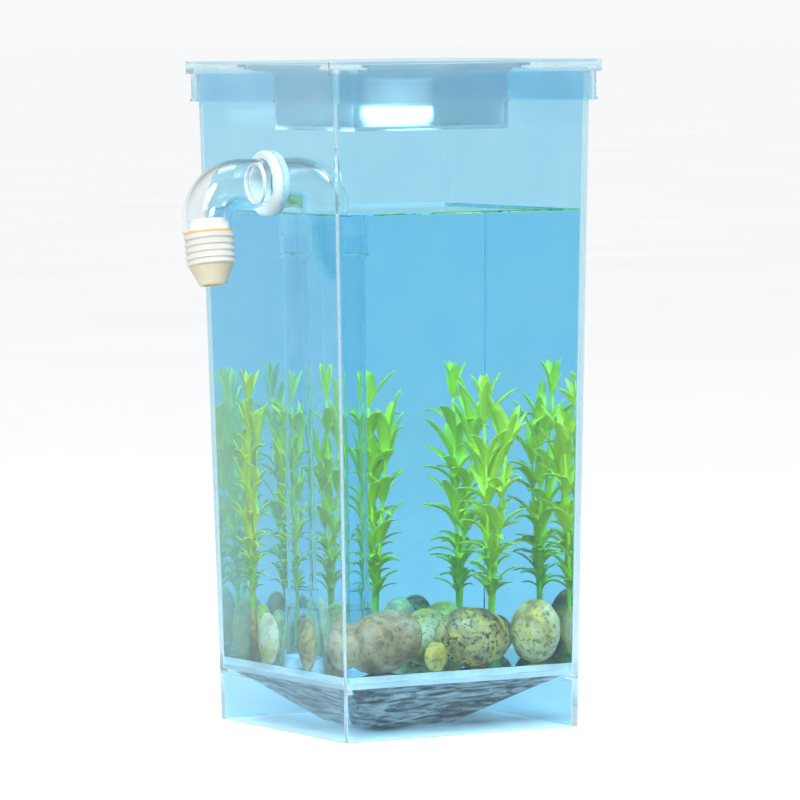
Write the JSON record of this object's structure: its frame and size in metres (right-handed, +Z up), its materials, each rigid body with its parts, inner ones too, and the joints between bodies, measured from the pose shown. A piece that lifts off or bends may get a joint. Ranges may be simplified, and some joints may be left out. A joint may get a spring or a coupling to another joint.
{
  "type": "self-cleaning desktop fish tank",
  "caption": "Clear tapered desktop fish tank with a gravity siphon, funnel floor, gravel tray, lidded battery light, river stones and plastic plants.",
  "frame": {"origin": "bottom centre of the whole object's box, on the plane the skirt stands on", "axes": "+Z up; -X towards the siphon outlet; -Y towards the front face; the tank's own axis is the line x = +16.025 mm, y = 0"},
  "size_m": [0.1494, 0.1174, 0.252],
  "materials": {
    "clear_plastic": "clear polished moulding",
    "ribbed_clear": "clear moulding with fine steps that scatter light",
    "tray_clear": "clear moulding, cloudy at its edges",
    "smoke_plastic": "greyish translucent moulding",
    "silicone": "translucent white silicone",
    "amber_rubber": "soft amber seal",
    "ivory_plastic": "fine satin",
    "white_plastic": "satin",
    "milky_lens": "milky translucent",
    "board_green": "solder-masked board",
    "led_glow": "lit white emitter",
    "cell_steel": "bright nickelled steel",
    "contact_nickel": "sprung strip, nickelled",
    "button_grey": "satin",
    "stone_rose": "water-worn, faintly pink",
    "stone_mottled": "water-worn, mottled grey and yellow",
    "stone_yellow": "water-worn, yellow",
    "stone_cream": "water-worn, cream",
    "stone_white": "water-worn, off-white",
    "stone_brown": "water-worn, dark brown",
    "leaf_green": "soft moulded plastic, yellow green",
    "plant_foot": "weighted foot, dark green"
  },
  "bodies": {
    "tank": {"tank_shell": "clear_plastic", "funnel_floor": "ribbed_clear", "floor_seal": "silicone", "gravel_tray": "tray_clear", "inner_elbow": "clear_plastic", "riser_tube": "clear_plastic", "bell_foot": "clear_plastic", "spigot_ring": "silicone", "wall_grommet": "silicone", "stone_front_large": "stone_rose", "stone_front_grey": "stone_mottled", "stone_front_yellow": "stone_yellow", "stone_right_round": "stone_cream", "stone_right_brown": "stone_brown", "stone_left_white": "stone_white", "stone_left_cream": "stone_cream", "stone_left_dark": "stone_brown", "stone_back_olive": "stone_yellow", "stone_mid_cream": "stone_cream", "stone_mid_pale": "stone_white", "stone_back_grey": "stone_mottled", "stone_back_pale": "stone_white", "stone_right_pale": "stone_yellow", "stone_mid_small": "stone_mottled", "stone_right_dark": "stone_brown"},
    "outlet_elbow": {"outer_elbow": "clear_plastic", "spout_gasket": "amber_rubber"},
    "spout": {"spout_collar": "ivory_plastic", "spout_cone": "ivory_plastic"},
    "lid": {"lid_frame": "clear_plastic"},
    "pocket": {"light_pocket": "smoke_plastic"},
    "light": {"light_lens": "milky_lens", "light_body": "white_plastic", "circuit_board": "board_green", "led": "led_glow", "coin_cell": "cell_steel", "contact_leaf": "contact_nickel"},
    "light_cap": {"battery_cap": "white_plastic"},
    "light_button": {"push_button": "button_grey"},
    "plant_left": {"plant_left_base": "plant_foot", "plant_left_foliage": "leaf_green"},
    "plant_tube": {"plant_tube_base": "plant_foot", "plant_tube_foliage": "leaf_green"},
    "plant_middle": {"plant_middle_base": "plant_foot", "plant_middle_foliage": "leaf_green"},
    "plant_right": {"plant_right_base": "plant_foot", "plant_right_foliage": "leaf_green"}
  },
  "joints": [
    {"name": "lid_lift", "type": "slide", "parent": "tank", "child": "lid", "axis": [0, 0, 1], "range_m": [0, 0.08]},
    {"name": "pocket_lift", "type": "slide", "parent": "lid", "child": "pocket", "axis": [0, 0, 1], "range_m": [0, 0.06]},
    {"name": "light_lift", "type": "slide", "parent": "pocket", "child": "light", "axis": [0, 0, 1], "range_m": [0, 0.05]},
    {"name": "cap_turn", "type": "hinge", "parent": "light", "child": "light_cap", "pos_m": [0.01752, 0, 0.243], "axis": [0, 0, 1], "range_deg": [0, 40]},
    {"name": "button_press", "type": "slide", "parent": "light_cap", "child": "light_button", "axis": [0, 0, -1], "range_m": [0, 0.0008], "stiffness_N_per_m": 400},
    {"name": "outlet_swivel", "type": "hinge", "parent": "tank", "child": "outlet_elbow", "pos_m": [-0.04398, 0, 0.2066], "axis": [1, 0, 0], "continuous": true},
    {"name": "spout_turn", "type": "hinge", "parent": "outlet_elbow", "child": "spout", "pos_m": [-0.06498, -0.00375, 0.18533], "axis": [0, -0.1736, -0.9848], "continuous": true},
    {"name": "plant_left_lift", "type": "slide", "parent": "tank", "child": "plant_left", "axis": [0, 0, 1], "range_m": [0, 0.055]},
    {"name": "plant_tube_lift", "type": "slide", "parent": "tank", "child": "plant_tube", "axis": [0, 0, 1], "range_m": [0, 0.055]},
    {"name": "plant_middle_lift", "type": "slide", "parent": "tank", "child": "plant_middle", "axis": [0, 0, 1], "range_m": [0, 0.055]},
    {"name": "plant_right_lift", "type": "slide", "parent": "tank", "child": "plant_right", "axis": [0, 0, 1], "range_m": [0, 0.055]}
  ]
}
